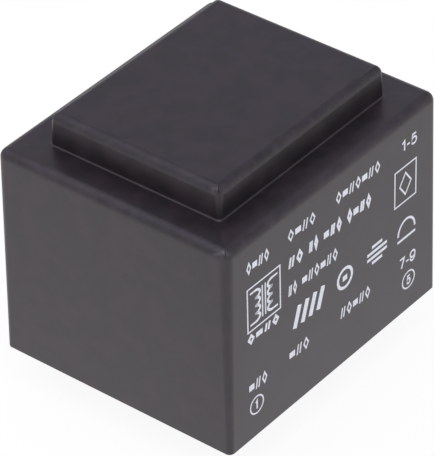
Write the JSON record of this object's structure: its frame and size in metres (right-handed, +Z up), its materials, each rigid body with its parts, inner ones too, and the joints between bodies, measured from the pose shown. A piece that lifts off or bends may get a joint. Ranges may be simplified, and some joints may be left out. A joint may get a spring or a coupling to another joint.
{
  "type": "pcb transformer",
  "caption": "Potted mains transformer for a circuit board: a laminated core with a divided coil former, cast in a moulded case with a raised crown, on solder pins.",
  "frame": {"origin": "middle of the case's open rim, the plane that stands on the circuit board", "axes": "+X along the long side, towards pin 5; -Y is the printed side; +Z up, out of the board, through the crown"},
  "size_m": [0.0324, 0.0274, 0.0308],
  "materials": {
    "case_moulding": "black moulding with a fine spark-eroded texture",
    "resin": "black cast resin, self-levelled",
    "former_moulding": "natural glass-filled nylon",
    "core_sheet": "stamped silicon steel sheet",
    "enamelled_wire": "enamelled copper wire",
    "insulating_tape": "yellow polyester tape",
    "tinned_pin": "drawn wire, dipped in tin",
    "solder": "solder, set after dipping"
  },
  "bodies": {
    "root": {"housing": "case_moulding", "potting": "resin", "bobbin": "former_moulding", "e_laminations": "core_sheet", "i_laminations": "core_sheet", "primary_winding": "enamelled_wire", "secondary_winding": "enamelled_wire", "primary_tape": "insulating_tape", "secondary_tape": "insulating_tape", "pin_1": "tinned_pin", "pin_5": "tinned_pin", "pin_7": "tinned_pin", "pin_9": "tinned_pin", "solder_joints": "solder"}
  },
  "joints": []
}
